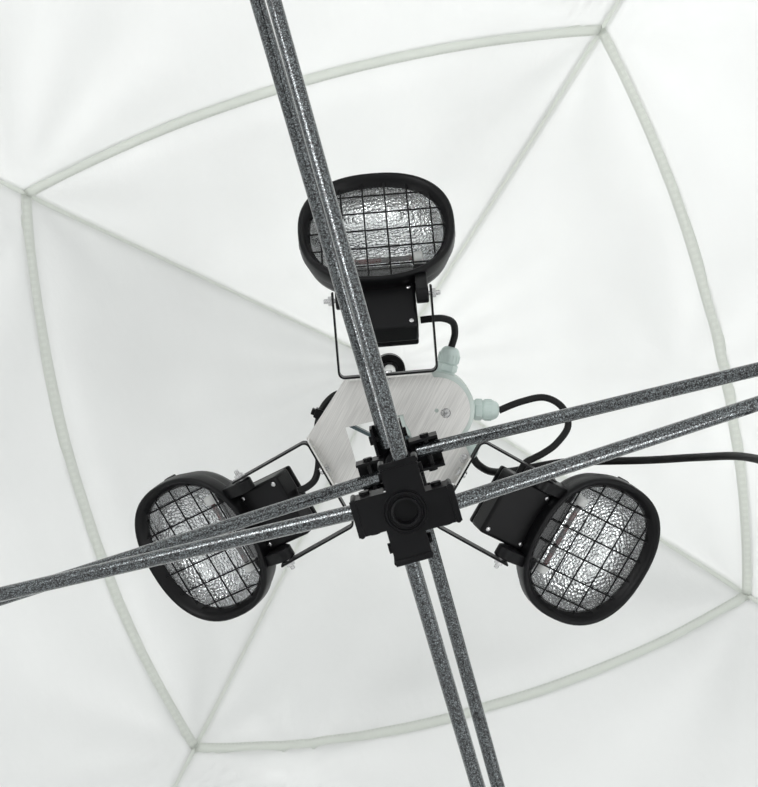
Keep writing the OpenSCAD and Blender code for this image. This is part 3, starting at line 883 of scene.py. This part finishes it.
def make_yokes():
    """Flat steel strip bent to a U with round corners, one for each lamp."""
    bm = bmesh.new()
    radius, thick, width = 0.0085, 0.0024, 0.022
    tip = LAMP_PIVOT - 0.092 + 0.0125
    for turn in YOKE_TURNS:
        base = KIT @ Matrix.Rotation(math.radians(turn), 4, "Z") @ Matrix.Translation((0.0901, 0, 0))
        outline = [((tip, -YOKE_HALF), (0, -1))]
        for side, start in ((-1, 270), (1, 180)):
            centre = (radius, side * (YOKE_HALF - radius))
            for step in range(7):
                a = math.radians(start - 15 * step)
                out = (math.cos(a), math.sin(a))
                outline.append(((centre[0] + radius * out[0], centre[1] + radius * out[1]), out))
        outline.append(((tip, YOKE_HALF), (0, 1)))
        rings = []
        for (x, y), out in outline:
            inner = (x - thick * out[0], y - thick * out[1])
            rings.append([base @ Vector((px, py, z)) for px, py, z in
                          ((x, y, 0), (inner[0], inner[1], 0), (inner[0], inner[1], -width), (x, y, -width))])
        add_loft(bm, rings)
    yokes = finish_piece("yoke_strips", bm, "strip", "head", slot="black_strip", smooth=25, bevel=0.0005)
    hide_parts("lamp_yokes")


def make_plate_details():
    bm = bmesh.new()
    for x, y in ((-0.0885, -0.0165), (-0.0645, 0.0410)):
        add_screw(bm, KIT @ along((x, y, 0.0), (0, 0, -1)), 0.0048, 0.0028)
        add_turned(bm, [(0.0062, 0), (0.0062, 0.0006)], KIT @ along((x, y, 0.0), (0, 0, -1)), 24)
    for i, turn in enumerate(YOKE_TURNS):
        middle = (0.0, 0.018, -0.012)[i]
        at = KIT @ Matrix.Rotation(math.radians(turn), 4, "Z")
        add_screw(bm, at @ along((0.0931, middle, -0.011), (1, 0, 0)), 0.0050, 0.0032)
        add_loft(bm, [[at @ along((0.0880, middle, -0.011), (-1, 0, 0)) @ p for p in circle(0.0056, z, 6)]
                      for z in (0.0, 0.004)])
    finish_piece("plate_screws", bm, "screw", "head", slot="brushed_plate")
    bm = bmesh.new()
    across = Matrix.Translation((0, 0, PLATE_LEVEL)) @ Matrix.Rotation(math.radians(CLAMP_TURN), 4, "Z")
    for x in (-0.051, 0.087):
        add_loft(bm, [[across @ Matrix.Translation((x, 0, 0.0091)) @ p for p in circle(0.0044, z, 6)]
                      for z in (0.0, 0.003)])
    finish_piece("clamp_bolts", bm, "screw", "head", slot="dark_bracket")


# ---------------------------------------------------------------- frame details
def make_hub_details():
    for name, body, level, sign in (("lower", "lower_hub", LOW_LEVEL, -1), ("upper", "head", TOP_LEVEL, 1)):
        face = along((0, 0, level + sign * 0.019), (0, 0, sign))
        bm = bmesh.new()
        if sign < 0:
            rings = [(0.0125, -0.010), (0.0125, 0.0035), (0.0150, 0.0042), (0.0158, 0.0020), (0.0176, 0.0020),
                     (0.0186, 0.0042), (0.0204, 0.0042), (0.0212, 0.0030), (0.0214, 0.0)]
            add_turned(bm, rings, face, 56, close=False)
            finish_piece("lower_hub_boss", bm, "black", body, slot="black_plastic", smooth=50)
            bm = bmesh.new()
            add_turned(bm, [(0.0122, -0.008), (0.0122, -0.006)], face, 40)
            finish_piece("lower_hub_plug", bm, "black", body, slot="black_plastic")
            bm = bmesh.new()
            for side in range(4):
                turn = Matrix.Rotation(side * math.pi / 2, 4, "Z")
                for y in (-0.0125, 0.0225):
                    post = turn @ Matrix.Translation((0.0485, y, level - 0.019))
                    add_turned(bm, [(0.0026, -0.0012), (0.0030, 0.0), (0.0030, 0.0295), (0.0022, 0.031)], post, 20)
                add_box(bm, (0.046, -0.014, level - 0.0205), (0.0522, 0.024, level - 0.0185), turn)
            finish_piece("lower_hub_ribs", bm, "black", body, slot="black_plastic", bevel=0.0006)
    # Peened ends of the pivot pins, brass on the upper hub
    for body, level, side_sign, kind in (("lower_hub", LOW_LEVEL, 1, "screw"), ("head", TOP_LEVEL, -1, "brass")):
        bm = bmesh.new()
        for side in range(4):
            turn = Matrix.Rotation(side * math.pi / 2, 4, "Z")
            for end in (-1, 1):
                y = side_sign * 0.005 + end * 0.0190
                at = turn @ along((0.036, y, level), (0, end, 0))
                add_turned(bm, [(0.0034, 0), (0.0034, 0.0005), (0.0028, 0.0011), (0.0012, 0.0013)], at, 20)
        finish_piece("pivot_rivets_" + body, bm, kind, body, slot="black_plastic")


def dress_cad_nodes():
    """Materials and softened edges for the CAD nodes that stay."""
    for name, obj in nodes.items():
        if name.startswith(("arm_", "side_", "leg_")):
            kind = "tube"
        elif name.startswith("inner_leg"):
            kind = "leg"
        elif name in ("lower_hub", "upper_hub", "peak_cup") or name.startswith(("mid_", "slider_")):
            kind = "black"
        else:
            kind = {"centre_pole": "pole", "light_plate": "plate", "pole_clamp": "clamp"}.get(name)
        if kind is None:
            continue
        obj.data.materials.clear()
        obj.data.materials.append(MATS[kind])
        if kind in ("black", "plate", "clamp"):
            mod = obj.modifiers.new("edges", "BEVEL")
            mod.width = 0.0007 if kind != "black" else 0.0011
            mod.segments = 2
            mod.limit_method = "ANGLE"
            mod.angle_limit = math.radians(40)


make_camera()
make_light()
make_floor()
make_supply_cord()
make_leads()
make_canopy()
for lamp_number in range(3):
    make_lamp(lamp_number)
make_junction_box()
make_yokes()
make_plate_details()
make_hub_details()
dress_cad_nodes()
